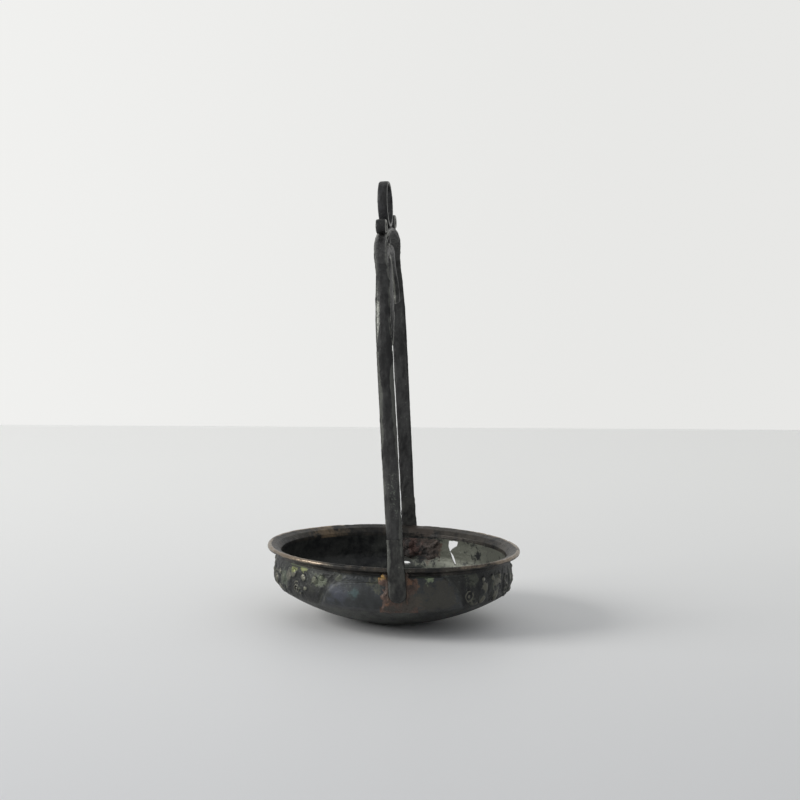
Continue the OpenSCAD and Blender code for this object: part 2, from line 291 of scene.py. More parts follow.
# Carries an outline along a path: an outline point moves by its first number across the path and
# by its second outwards from it.
def carry(path, across, outward, outline):
    across, outward = (np.broadcast_to(way, path.shape)[:, None] for way in (across, outward))
    return path[:, None] + across * outline[..., :1] + outward * outline[..., 1:]


# Moves a skin along its normals, which are first turned away from the middle of each row.
def pushed(grid, push, looped=False):
    normal = gridNormals(grid, True, looped)
    normal *= np.sign((normal * (grid - grid.mean(1, keepdims=True))).sum())
    return grid + normal * push[..., None]


# Makes a skin uneven, by a strength and a size of lumps.
def roughened(grid, strength, size, seed):
    return grid + gridNormals(grid) * strength * lumps(grid, size, seed, 2)[..., None]


# A closed outline with rounded corners: a superellipse of a half width and a half height.
def softBox(halfWidth, halfHeight, count, power=5.0):
    t = np.linspace(0, tau, count, endpoint=False)
    c, s = np.cos(t), np.sin(t)
    grow = (np.abs(c) ** power + np.abs(s) ** power) ** (-1 / power)
    wide, high = np.asarray(halfWidth)[..., None], np.asarray(halfHeight)[..., None]
    return np.stack([wide * c * grow, high * s * grow], -1)


# Unit directions along a line of points.
def slopes(line):
    slope = np.gradient(line, axis=0)
    return slope / np.linalg.norm(slope, axis=1, keepdims=True)


# Points spaced evenly along a line of points.
def evenly(line, count):
    steps = np.linalg.norm(np.diff(line, axis=0), axis=1)
    run = np.append(0, np.cumsum(steps))
    at = np.linspace(0, run[-1], count)
    return np.stack([np.interp(at, run, line[:, k]) for k in range(line.shape[1])], -1)


# A socket with arithmetic: each sum, difference, product or quotient adds one Math node.
class Link:
    def __init__(self, tree, socket=None):
        self.tree = tree
        self.socket = socket

    # Adds a node: its settings first, then the values or links of its sockets.
    def add(self, kind, settings=None, sockets=None, out=0):
        node = self.tree.nodes.new(kind)
        for key, value in (settings or {}).items():
            setattr(node, key, value)
        for key, value in (sockets or {}).items():
            if isinstance(value, Link):
                self.tree.links.new(value.socket, node.inputs[key])
            else:
                node.inputs[key].default_value = value
        return Link(self.tree, node.outputs[out] if node.outputs else None)

    def maths(self, operation, first, second):
        return self.add("ShaderNodeMath", {"operation": operation}, {0: first, 1: second})

    def __add__(self, other):
        return self.maths("ADD", self, other)

    def __radd__(self, other):
        return self.maths("ADD", other, self)

    def __sub__(self, other):
        return self.maths("SUBTRACT", self, other)

    def __rsub__(self, other):
        return self.maths("SUBTRACT", other, self)

    def __mul__(self, other):
        return self.maths("MULTIPLY", self, other)

    def __rmul__(self, other):
        return self.maths("MULTIPLY", other, self)

    # From 0 at low to 1 at high, smoothly.
    def rise(self, low, high):
        sockets = {"Value": self, "From Min": low, "From Max": high}
        return self.add("ShaderNodeMapRange", {"interpolation_type": "SMOOTHSTEP"}, sockets)

    # A noise of about a size in millimetres, on a place.
    def grain(self, size, detail=4.0, rough=0.55):
        sockets = {"Vector": self, "Scale": 1 / (size * mm), "Detail": detail, "Roughness": rough}
        return self.add("ShaderNodeTexNoise", None, sockets)

    # Pits of about a size in millimetres: the distance to the nearest of scattered points.
    def pits(self, size):
        return self.add("ShaderNodeTexVoronoi", None, {"Vector": self, "Scale": 1 / (size * mm)})

    # One colour where this mask is 0 and another where it is 1.
    def between(self, low, high):
        low, high = (c if isinstance(c, Link) else (*c, 1) for c in (low, high))
        return self.add("ShaderNodeMix", {"data_type": "RGBA"}, {0: self, 6: low, 7: high}, 2)

    # The distance of a place from a point, in millimetres.
    def away(self, point):
        spot = {0: self, 1: tuple(np.asarray(point) * mm)}
        return self.add("ShaderNodeVectorMath", {"operation": "DISTANCE"}, spot, 1) * (1 / mm)


def newLook(name):
    look = bpy.data.materials.new(name)
    look.use_nodes = True
    look.node_tree.nodes.clear()
    return look, Link(look.node_tree)


def closeLook(start, colour, roughness, metallic, height, depth):
    bump = start.add("ShaderNodeBump", None, {"Strength": 1.0, "Distance": depth * mm, "Height": height})
    sockets = {"Base Color": colour, "Roughness": roughness, "Metallic": metallic, "Normal": bump}
    shader = start.add("ShaderNodeBsdfPrincipled", None, sockets)
    start.add("ShaderNodeOutputMaterial", None, {"Surface": shader})


# A place on the wall, from its angle about the axis in degrees and its height.
def onWall(angle, height, radius=None):
    r = bellyRadius + 0.8 if radius is None else radius
    return r * math.cos(math.radians(angle)), r * math.sin(math.radians(angle)), height


# A coloured spot on the wall, used both for stains and for painted highlights and painted shade: where it
# is, its reach in millimetres, its colour, how much it covers and how soft its edge is.
def stainOrPaintedLight(angle, height, size, colour, strength=0.9, soft=0.35, radius=None):
    place = onWall(angle, height, radius)
    return {"at": place, "size": size, "colour": colour, "strength": strength, "soft": soft}


# Old bronze: a dark skin broken by lighter areas, a crust in the hollows, painted shade that darkens the
# hollows, bare metal where the wear is greatest, painted sheen on some edges, and stains, painted
# highlights and painted shade at given places, each with a ragged edge.
def patina(name, tone, stainsAndPaintedLight=()):
    look, start = newLook(name)
    place = start.add("ShaderNodeTexCoord", out=3)
    stretch = tone.get("drawn", (1, 1, 1))
    drawn = start.add("ShaderNodeMapping", None, {"Vector": place, "Scale": stretch})
    broad = drawn.grain(tone["broad"], 3)
    middle = drawn.grain(tone["middle"], 5, 0.6)
    fine = place.grain(tone["fine"], 6, 0.65)
    pits = place.pits(tone["pit"])
    wearAndSheen, paintedHollowShade = (start.add("ShaderNodeAttribute", {"attribute_name": mark}, out=2)
                  for mark in ("wearAndSheen", "paintedHollowShade"))
    skin = (broad * 0.45 + middle * 0.55).rise(0.5 - tone["blend"], 0.5 + tone["blend"])
    colour = skin.between(tone["dark"], tone["light"])
    crust = (middle * 0.5 + fine * 0.5 + tone["crust"] - 0.5).rise(0.52, 0.6)
    colour = crust.between(colour, tone["crustColour"])
    specks = (fine + (broad - 0.5) * 0.6).rise(0.66, 0.72) * tone["specks"]
    colour = specks.between(colour, tone["speckColour"])
    # the worn mask gives the bare colour: real wear, and on the straps, feet, lip and ornament also
    # painted sheen and highlights
    worn = (wearAndSheen * tone["wearAndSheen"] + (middle - 0.5) * 0.7 + (fine - 0.5) * 0.5).rise(0.38, 0.72)
    colour = worn.between(colour, tone["bare"])
    # painted shade: where the hollow mark is set, the colour is darkened
    colour = (paintedHollowShade * (0.6 + middle * 0.8)).rise(0.25, 0.85).between(colour, tone["hollowShadeColour"])
    for spot in stainsAndPaintedLight:
        distance = place.away(spot["at"])
        edge = distance * (-1 / spot["size"]) + 1 + (middle - 0.5) * 2.2 + (fine - 0.5) * 1.0
        mask = edge.rise(0.3, 0.3 + spot.get("soft", 0.35)) * spot.get("strength", 0.9)
        colour = mask.between(colour, spot["colour"])
    roughness = tone["rough"] + (fine - 0.5) * 0.35 + crust * 0.2 - worn * 0.14
    metallic = tone["metal"] + worn * 0.3 - crust * 0.3
    height = fine * 0.55 + middle * 0.5 + pits.rise(0.0, 0.4) * 0.35 + crust * 0.25
    closeLook(start, colour, roughness, metallic, height, tone["depth"])
    return look


darkBronze = {
    "dark": (0.010, 0.011, 0.012),
    "light": (0.050, 0.053, 0.048),
    "bare": (0.20, 0.17, 0.13),
    "crustColour": (0.095, 0.105, 0.075),
    "speckColour": (0.30, 0.34, 0.27),
    # the colour of the painted shade in the hollows
    "hollowShadeColour": (0.013, 0.013, 0.012),
    "crust": 0.44,
    "specks": 0.25,
    "blend": 0.10,
    "broad": 14.0,
    "middle": 4.0,
    "fine": 0.9,
    "pit": 1.1,
    "wearAndSheen": 1.0,
    "rough": 0.52,
    "metal": 0.35,
    "depth": 0.22,
}
inside = neckRadius - 2
shellStainsAndPaintedLight = [
    stainOrPaintedLight(18, 29.2, 7, (0.085, 0.10, 0.07), radius=neckRadius),
    stainOrPaintedLight(-52, 29.2, 9, (0.10, 0.115, 0.07), radius=neckRadius),
    # painted shade: the far-left inner wall, which the key light does not reach
    stainOrPaintedLight(-140, 18, 46, (0.036, 0.036, 0.036), 0.7, 0.8, radius=inside),
    # painted light: two lit patches on the far-right inner wall, where the key light from the left falls
    stainOrPaintedLight(150, 22, 26, (0.17, 0.178, 0.142), 0.75, radius=inside),
    stainOrPaintedLight(118, 22, 32, (0.16, 0.166, 0.137), 0.7, radius=inside),
    stainOrPaintedLight(163, 24, 9, (0.085, 0.05, 0.038), radius=inside),
]
shellLook = patina("cast_shell", darkBronze, shellStainsAndPaintedLight)
lipStainsAndHighlight = [
    stainOrPaintedLight(168, 32.5, 10, (0.058, 0.047, 0.040), radius=neckRadius),
    # painted highlight: a golden glint of the key light on the inner slope at the back left
    stainOrPaintedLight(-140, 32.6, 17, (0.40, 0.28, 0.16), 0.35, 0.9, radius=neckRadius + 0.6),
]
lipLook = patina("worn_lip", darkBronze | {
    "dark": (0.012, 0.012, 0.012),
    "light": (0.048, 0.042, 0.035),
    "bare": (0.23, 0.185, 0.14),
    "crustColour": (0.032, 0.032, 0.028),
    "crust": 0.37,
    "wearAndSheen": 0.85,
    "rough": 0.46,
    "metal": 0.6,
    "depth": 0.14,
}, lipStainsAndHighlight)
reliefStainsAndHighlights = [
    stainOrPaintedLight(-52, 28.2, 3.6, (0.20, 0.22, 0.085)),
    stainOrPaintedLight(-45, 28.6, 3.6, (0.25, 0.27, 0.12)),
    stainOrPaintedLight(-34, 25, 5.2, (0.12, 0.135, 0.095), 0.75),
    # painted highlights: light glints on two knobs at the left
    stainOrPaintedLight(-41, 16.6, 1.6, (0.28, 0.28, 0.22)),
    stainOrPaintedLight(-42.6, 20, 1.6, (0.20, 0.20, 0.155)),
    stainOrPaintedLight(-62, 22, 7, (0.07, 0.085, 0.06), 0.6),
    # painted highlight: a light glint on the knob atop a right lobe
    stainOrPaintedLight(51, 26.2, 1.4, (0.30, 0.29, 0.26)),
    stainOrPaintedLight(44, 27, 5, (0.07, 0.076, 0.058), 0.7),
]
reliefLook = patina("cast_relief", darkBronze | {
    "wearAndSheen": 0.95,
    "crust": 0.47,
    "crustColour": (0.11, 0.118, 0.082),
    "bare": (0.110, 0.108, 0.086),
    "specks": 0.6,
    "depth": 0.3,
}, reliefStainsAndHighlights)
saddleStains = [
    stainOrPaintedLight(24, 19, 17, (0.050, 0.047, 0.037), 0.8),
    stainOrPaintedLight(13, 15, 7, (0.075, 0.062, 0.048), 0.8),
    stainOrPaintedLight(-2, 29.4, 9, (0.085, 0.088, 0.062), 0.7, radius=neckRadius),
    stainOrPaintedLight(-26, 29.4, 7, (0.085, 0.092, 0.062), 0.7, radius=neckRadius),
    stainOrPaintedLight(-24, 20, 10, (0.050, 0.055, 0.074), 0.75, 0.8),
    stainOrPaintedLight(-15, 21, 4.5, (0.065, 0.11, 0.11), 0.55, 0.6),
    stainOrPaintedLight(20.6, 28.3, 3.4, (0.20, 0.24, 0.15)),
    stainOrPaintedLight(12, 26, 4.5, (0.13, 0.075, 0.048)),
]
saddleLook = patina("smooth_saddle", darkBronze | {
    "dark": (0.022, 0.024, 0.024),
    "light": (0.050, 0.054, 0.058),
    "bare": (0.12, 0.12, 0.10),
    "crust": 0.43,
    "specks": 0.4,
    "depth": 0.16,
    "rough": 0.50,
    "blend": 0.2,
}, saddleStains)
padStainsAndHighlights = [
    stainOrPaintedLight(9, 15, 10, (0.052, 0.045, 0.037), 0.9),
    stainOrPaintedLight(3, 14, 6, (0.050, 0.044, 0.037), 0.9),
    stainOrPaintedLight(13, 19, 8, (0.060, 0.052, 0.042), 0.9),
    stainOrPaintedLight(0.5, 17.5, 1.6, (0.16, 0.085, 0.05)),
    stainOrPaintedLight(10.5, 27.3, 3, (0.16, 0.085, 0.05)),
    # painted highlight: a beige glint by the foot
    stainOrPaintedLight(0.6, 20.5, 1.4, (0.34, 0.31, 0.26)),
    # painted highlight on the copper along the pad's top edge
    stainOrPaintedLight(-4, 29.3, 3, (0.33, 0.20, 0.075)),
    stainOrPaintedLight(-3, 23, 4, (0.125, 0.082, 0.066)),
]
copperTone = darkBronze | {
    "dark": (0.042, 0.030, 0.024),
    "light": (0.125, 0.074, 0.055),
    "bare": (0.15, 0.092, 0.064),
    "crustColour": (0.065, 0.065, 0.045),
    "crust": 0.42,
    "metal": 0.25,
    "rough": 0.62,
    "depth": 0.3,
}
blob = {"at": (54.3, -2.2, 30.3), "size": 3.4, "colour": (0.40, 0.245, 0.075)}
copperLook = patina("copper_patch", copperTone, padStainsAndHighlights)
brazeLook = patina("braze", copperTone | {"light": (0.10, 0.064, 0.044)}, [blob])
rustStains = [stainOrPaintedLight(172, 24, 6, (0.105, 0.058, 0.049), 0.7, radius=inside)]
rustLook = patina("iron_rust", darkBronze | {
    "dark": (0.020, 0.017, 0.016),
    "light": (0.080, 0.060, 0.051),
    "bare": (0.15, 0.125, 0.108),
    "crustColour": (0.070, 0.066, 0.058),
    "crust": 0.47,
    "metal": 0.0,
    "rough": 0.82,
    "depth": 0.45,
    "middle": 2.6,
}, rustStains)
strapTone = darkBronze | {
    "dark": (0.010, 0.010, 0.010),
    "light": (0.042, 0.042, 0.041),
    "drawn": (1, 1, 0.45),
    "broad": 9.0,
    "middle": 2.8,
    "crust": 0.42,
    "crustColour": (0.062, 0.068, 0.055),
    # bare metal, and the colour of the painted sheen on the strap's flanks
    "bare": (0.092, 0.094, 0.085),
    "wearAndSheen": 0.9,
    "rough": 0.5,
}
footStains = [
    {"at": (legOut, 0.8, 25), "size": 3.4, "colour": (0.15, 0.19, 0.14), "strength": 0.8},
    {"at": (legOut, 2.4, 28), "size": 2.2, "colour": (0.17, 0.085, 0.06)},
]
strapLook = patina("strap_bronze", strapTone)
footLook = patina("foot_bronze", strapTone | {"light": (0.050, 0.050, 0.045)}, footStains)
ringTone = strapTone | {"light": (0.040, 0.040, 0.042), "depth": 0.14, "wearAndSheen": 0.7}
ringLook = patina("ring_bronze", ringTone)
# its bare colour also paints the highlights along the leaf's ridge and the tendrils' beads
ornamentTone = strapTone | {"drawn": (1, 1, 1), "bare": (0.20, 0.20, 0.18)}
ornamentLook = patina("ornament_bronze", ornamentTone)
print("finishes made")


# The radius of the round bottom, so that it passes through the rim of the flat and rolls smoothly
# into the shoulder: the root of a quadratic.
def bottomRadius():
    side, roll = bellyRadius - bowl["shoulder"], bowl["shoulder"]
    middle = bowl["bellyHeight"]
    k = side ** 2 - bowl["rest"] ** 2 + middle ** 2 - roll ** 2
    a, b = 4 * (middle ** 2 - roll ** 2), 4 * k * roll
    c = k ** 2 + 4 * (middle * bowl["rest"]) ** 2
    return (b + math.sqrt(b ** 2 + 4 * a * c)) / (2 * a)


sphere = bottomRadius()


# The wall's outline from the axis out and up, moved outwards by a distance: a flat, an arc of the
# bottom, an arc of the shoulder, and a line to the neck. Angles run from straight down.
def wallLine(grow, count=400):
    restAngle = math.asin(bowl["rest"] / sphere)
    side = bellyRadius - bowl["shoulder"]
    rollAngle = math.asin(side / (sphere - bowl["shoulder"]))
    low = np.linspace(restAngle, rollAngle, 160)
    high = np.linspace(rollAngle, math.pi / 2, 80)
    middle = math.sqrt(sphere ** 2 - bowl["rest"] ** 2)
    bottom, roll = sphere + grow, bowl["shoulder"] + grow
    r = [[0.3], bottom * np.sin(low), side + roll * np.sin(high), [neckRadius + grow]]
    z = [[-grow * math.cos(restAngle)], middle - bottom * np.cos(low),
         bowl["bellyHeight"] - roll * np.cos(high), [neckHeight]]
    r, z = np.concatenate(r), np.concatenate(z)
    return evenly(np.stack([r, z], -1), count)


outerLine = wallLine(0)
outerSlope = slopes(outerLine)
risesFrom = 60


# A point at a distance from the outer wall, at an angle in degrees and a height.
def offWall(angle, height, distance):
    z = outerLine[risesFrom:, 1]
    r = np.interp(height, z, outerLine[risesFrom:, 0])
    outR = np.interp(height, z, outerSlope[risesFrom:, 1])
    outZ = -np.interp(height, z, outerSlope[risesFrom:, 0])
    a = np.radians(angle)
    far = r + distance * outR
    return np.stack([far * np.cos(a), far * np.sin(a), height + distance * outZ], -1)


def revolve(line, angles):
    r, z = line[:, None, 0], line[:, None, 1]
    return np.stack([r * np.cos(angles), r * np.sin(angles), z + 0 * angles], -1)


# The old casting faults, as outlines across and up, seen along the handle's plane.
faults = {
    "funnel": [(23.7, 28.7), (25.8, 29.0), (27.9, 28.9), (27.6, 26.6), (26.2, 25.4), (25.0, 24.4),
               (24.3, 23.1), (23.5, 25.6), (23.7, 28.7)],
    "slit": [(24.5, 23.2), (25.4, 21.8), (26.1, 20.0), (27.1, 17.6)],
    "slitHalf": 0.55,
    "slot": (3.5, 16.5),
    "slotHalf": (2.0, 0.8),
    "reach": (-62, -34),
}


# A tube along X between two distances, to cut with: its outline gives places across and up.
def cutter(outline, near, far):
    columns = len(outline)
    x = np.array([near, far])[:, None, None]
    grid = np.concatenate([x + 0 * outline[None, :, :1], outline[None] + 0 * x], -1)
    points = np.vstack([grid.reshape(-1, 3), grid.mean(1)])
    quads, fans = facesOut(points, gridQuads(2, columns, False, True), endFans(2, columns))
    mesh = bpy.data.meshes.new("cutter")
    mesh.from_pydata(points * mm, [], quads.tolist() + fans.tolist())
    return placed("cutter", mesh)


def oval(middle, half, count=36):
    t = np.linspace(0, tau, count, endpoint=False)
    return np.array(middle) + np.stack([half[0] * np.cos(t), half[1] * np.sin(t)], -1)


def makeCutters():
    funnel = evenly(np.array(faults["funnel"]), 57)[:-1]
    rough = lumps(np.column_stack([funnel, 0 * funnel[:, 0]]), 0.9, 5)
    funnel = funnel + 0.14 * rough[:, None]
    line = evenly(np.array(faults["slit"]), 18)
    slope = slopes(line)
    side = faults["slitHalf"] * np.sin(np.linspace(0.4, math.pi - 0.4, 18))[:, None]
    across = np.stack([slope[:, 1], -slope[:, 0]], -1) * side
    slit = np.vstack([line + across, (line - across)[::-1]])
    slot = oval(faults["slot"], faults["slotHalf"])
    return [cutter(outline, *faults["reach"]) for outline in (funnel, slit, slot)]


cutters = makeCutters()


# Cuts the faults out of a piece, and keeps the result as its mesh.
def pierce(piece):
    for tool in cutters:
        cut = piece.modifiers.new("fault", "BOOLEAN")
        cut.operation = "DIFFERENCE"
        cut.solver = "EXACT"
        cut.object = tool
    shaped = piece.evaluated_get(bpy.context.evaluated_depsgraph_get())
    mesh = bpy.data.meshes.new_from_object(shaped)
    piece.modifiers.clear()
    old = piece.data
    piece.data = mesh
    bpy.data.meshes.remove(old)
    mesh.name = piece.name


# The basin: its outline goes out under the bottom, up the wall, and back down inside.
def makeShell():
    inner = wallLine(-bowl["wall"], 90)[::-1]
    line = np.vstack([evenly(outerLine, 78), inner])
    angles = np.linspace(0, tau, 420, endpoint=False)[None, :]
    grid = revolve(line, angles)
    normal = gridNormals(grid)
    normal *= np.sign((normal[40] * grid[40]).sum())
    rows = np.arange(len(line))[:, None]
    insideShare = smoothStep(rows, 80, 90)
    free = smoothStep(line[:, 1], 0.2, 3)[:, None] * smoothStep(neckHeight - line[:, 1], 0.3, 2)[:, None]
    swell = lumps(grid, 16, 3, 2) * 0.5 + lumps(grid, 3.5, 11) * 0.5
    push = bowl["lumps"] * (swell - 0.8) * free * (1 - insideShare)
    ripples = 0.05 * np.sin(grid[..., 2] * 5.5 + 2 * lumps(grid, 20, 31, 1))
    crust = 0.22 * lumps(grid, 7, 21) + 0.10 * lumps(grid, 1.8, 41) + ripples
    push = push + insideShare * free * crust
    piece = tubePiece("bowl_body", grid + normal * push[..., None], shellLook,
                      ["bowl_shell"], smoothStep(-push, 0.12, 0.25) * 0.3)
    pierce(piece)


lip = {"nose": 1.2, "highlightAt": 318, "highlightOver": 24}


# The flared lip: its outline carried round the axis, worn unevenly along the nose, with a painted
# highlight on the nose at the near left.
def makeLip():
    nose = lip["nose"]
    over, high = lipRadius - neckRadius, lipTop - neckHeight
    cove = np.radians(np.linspace(0, 90, 14))
    bead = np.radians(np.linspace(-75, 90, 18))
    underR = neckRadius + (over - nose) * (1 - np.cos(cove))
    underZ = neckHeight + (high - 2 * nose) * np.sin(cove)
    parts = [
        [[neckRadius - bowl["wall"], neckHeight]],
        np.stack([underR, underZ], -1),
        np.stack([lipRadius - nose + nose * np.cos(bead), lipTop - nose + nose * np.sin(bead)], -1),
        [[neckRadius + 0.3, lipTop - 1.1], [neckRadius - bowl["wall"], lipTop - 3]],
        [[neckRadius - bowl["wall"], neckHeight]],
    ]
    line = evenly(np.vstack(parts), 71)[:-1]
    angles = np.linspace(0, tau, 560, endpoint=False)
    grid = revolve(line, angles[None, :]).transpose(1, 0, 2)
    normal = gridNormals(grid, True, True)
    top = np.argmax(line[:, 0])
    normal *= np.sign((normal[:, top, :2] * grid[:, top, :2]).sum())
    free = smoothStep(line[:, 1], neckHeight + 0.1, neckHeight + 1.5)[None, :]
    dents = np.clip(lumps(grid, 5, 61, 2) - 0.25, 0, 1)
    push = -(0.10 + 0.10 * lumps(grid, 13, 51, 2) + 0.30 * dents + 0.05 * lumps(grid, 1.4, 71, 2)) * free
    rounded = smoothStep(line[:, 0], lipRadius - 2.8, lipRadius - 1.3)[None, :]
    rounded = rounded * smoothStep(line[:, 1], lipTop - 2.4, lipTop - 1)[None, :]
    wornAndLit = 0.4 + 0.6 * smoothStep(np.abs(np.sin(angles)), 0.25, 0.8)
    # painted highlight: on the nose at the near left the wear is raised to full, standing in for a line of
    # light
    paintedHighlight = np.exp(-((np.degrees(angles) - lip["highlightAt"]) / lip["highlightOver"]) ** 2)
    wornAndLit = np.maximum(wornAndLit, paintedHighlight)
    wearAndSheen = rounded * wornAndLit[:, None] * (0.85 + 0.3 * lumps(grid, 9, 81, 2))
    grid = grid + normal * push[..., None]
    tubePiece("flared_lip", grid, lipLook, ["lip_ring"], wearAndSheen, True)


makeShell()
makeLip()
print("bowl made")

saddle = {
    "topWidth": 22.5,
    "middleWidth": 28.5,
    "lowWidth": 31.5,
    "aside": handleShift / 2,
    "groove": 1.4,
    "thick": 1.0,
    "rim": 0.16,
}
# how far a laid-on skin sinks into the wall
sink = 0.2


# Half the width of a saddle at a height: the curve through its widths at the foot, middle and top.
def saddleHalf(height):
    low, high = reliefLow, neckHeight
    t = (height - low) / (high - low)
    a, b, c = saddle["lowWidth"], saddle["middleWidth"], saddle["topWidth"]
    return a * (1 - t) * (1 - 2 * t) + 4 * b * t * (1 - t) + c * t * (2 * t - 1)


def wallRadius(height):
    return np.interp(height, outerLine[risesFrom:, 1], outerLine[risesFrom:, 0])


# The angle about the axis of a place on the near or far wall, from its distance aside and height.
def wallAngle(side, height, front=True):
    angle = np.degrees(np.arcsin(side / wallRadius(height)))
    return angle if front else 180 - angle


# Plain saddle: a smooth dome across that thins out to its lower edge. On its left half the dome ends
# in rounded corners below a rough band at the neck, and its right half is rough with corrosion.
# Outside the dome's left corners the skin is darkened as painted shade.
def makeSaddle(name, front, node):
    v, u = np.meshgrid(np.linspace(0, 1, 90), np.linspace(-1, 1, 260), indexing="ij")
    height = reliefLow + (reliefHigh - reliefLow) * v
    side = saddle["aside"] + u * saddleHalf(height)
    angle = wallAngle(side, height, front)
    place = offWall(angle, height, 0)
    upper = np.clip((v - 0.1) / 0.76, 0, None)
    shut = 1 - smoothStep(u, -0.1, 0.3)
    within = 1 - np.abs(u) ** 5 - shut * upper ** 6 + 0.05 * lumps(place, 4, 121, 2)
    rise = smoothStep(within, 0.0, 0.3)
    low = smoothStep(v, 0, 0.16)
    taper = 0.42 + 0.58 * low
    band = smoothStep(upper, 0.98, 1.08)
    dome = 0.5 + 0.5 * (1 - np.abs(u) ** 2.5)
    thick = saddle["rim"] + (saddle["thick"] - saddle["rim"]) * dome * rise * taper
    thick = thick * smoothStep(1 - np.abs(u), 0, 0.03)
    thick = thick + band * saddle["rim"] * (1 + lumps(place, 1.3, 115, 2))
    thick = thick + 0.06 * lumps(place, 9, 101, 2) * rise + 0.04 * lumps(place, 1.6, 111, 2) * rise
    rusty = smoothStep(u, 0.3, 0.6) + smoothStep(upper, 0.8, 1.05)
    thick = thick + 0.11 * np.clip(rusty, 0, 1) * lumps(place, 1.7, 125, 3)
    edge = np.exp(-((within - 0.16) / 0.10) ** 2) * (u < 0) * low
    thick = np.maximum(thick, 0.03)
    # painted shade: outside the dome, the corners by the neck are darkened
    paintedHollowShade = (1 - smoothStep(within, -0.1, 0.12)) * (1 - band) * shut * 0.6
    between, wearAndSheen = (thick, -sink), edge * 0.55
    piece = skinPiece(name, angle, height, between, saddleLook, node, wearAndSheen, paintedHollowShade)
    if not front:
        pierce(piece)


makeSaddle("plain_saddle_front", True, "front_saddle")
makeSaddle("plain_saddle_rear", False, "rear_saddle")

# What stands on each frieze, as angles and heights, from the front border round to the rear one.
rightFrieze = {
    "side": 1,
    "ground": 0.14,
    "rings": [(41.4, 19.5, 2.75), (71.8, 19.6, 2.6), (108.2, 19.5, 2.6), (138.6, 19.6, 2.7)],
    "lobes": [(51.2, 21.4, 2.9, 5.4), (62.0, 21.6, 4.3, 5.2), (81.6, 21.5, 3.0, 5.4),
              (90.0, 21.6, 3.0, 5.6), (98.4, 21.5, 3.0, 5.4), (118.0, 21.6, 4.3, 5.2),
              (128.8, 21.4, 2.9, 5.4)],
    "knobs": [(51.0, 26.2, 1.0), (50.8, 17.4, 1.7), (58.6, 26.0, 1.3), (64.8, 25.8, 1.2),
              (61.5, 17.2, 1.6), (90.0, 26.3, 1.0), (118.0, 26.0, 1.3), (129.0, 17.4, 1.7),
              (82.0, 17.3, 1.5), (98.0, 17.3, 1.5)],
    "pits": [(65.0, 21.0, 1.1), (59.8, 21.6, 0.8), (115.0, 21.0, 1.1), (41.4, 24.5, 1.2)],
    "hooks": [[(-1.6, 2.4), (-1.3, 4.6), (0.6, 6.2), (2.6, 5.6), (2.9, 4.2)],
              [(1.5, -2.0), (2.8, -3.6), (4.6, -4.4), (5.8, -3.4)]],
    "corner": None,
}
leftFrieze = {
    "side": -1,
    "ground": 0.14,
    "rings": [(-49.0, 19.3, 1.9), (-72.0, 20.0, 2.5), (-108.0, 19.6, 2.6), (-138.0, 19.5, 2.6)],
    "lobes": [(-56.6, 22.0, 2.2, 5.6), (-62.6, 21.0, 2.0, 5.8), (-81.6, 21.5, 2.6, 5.4),
              (-90.0, 21.6, 2.8, 5.6), (-98.4, 21.5, 2.6, 5.4), (-118.0, 21.6, 4.0, 5.2),
              (-128.4, 21.4, 2.8, 5.4)],
    "knobs": [(-42.6, 20.0, 1.2), (-41.0, 16.8, 1.1), (-44.5, 24.6, 1.6), (-52.5, 25.4, 1.8),
              (-37.0, 24.6, 1.5), (-33.0, 26.0, 1.1), (-66.8, 24.0, 1.4), (-66.0, 17.5, 1.5),
              (-90.0, 26.3, 1.0), (-118.0, 26.0, 1.3)],
    "pits": [(-46.0, 22.0, 1.0), (-55.0, 17.6, 1.0), (-34.8, 23.4, 0.8), (-115.0, 21.0, 1.1)],
    "hooks": [[(-1.2, 1.8), (-1.9, 3.2), (-0.6, 4.6), (1.4, 4.2), (1.9, 3.0)],
              [(-1.2, -1.8), (-2.8, -2.8), (-4.2, -2.0)]],
    "corner": (-39.5, 17.0, 4.2),
}


# Distance from points of a panel to a line of points, both in millimetres along the wall.
def lineDistance(along, up, line):
    best = np.full(along.shape, 1e9)
    for (x0, y0), (x1, y1) in zip(line[:-1], line[1:]):
        dx, dy = x1 - x0, y1 - y0
        t = np.clip(((along - x0) * dx + (up - y0) * dy) / (dx * dx + dy * dy), 0, 1)
        best = np.minimum(best, np.hypot(along - x0 - t * dx, up - y0 - t * dy))
    return best


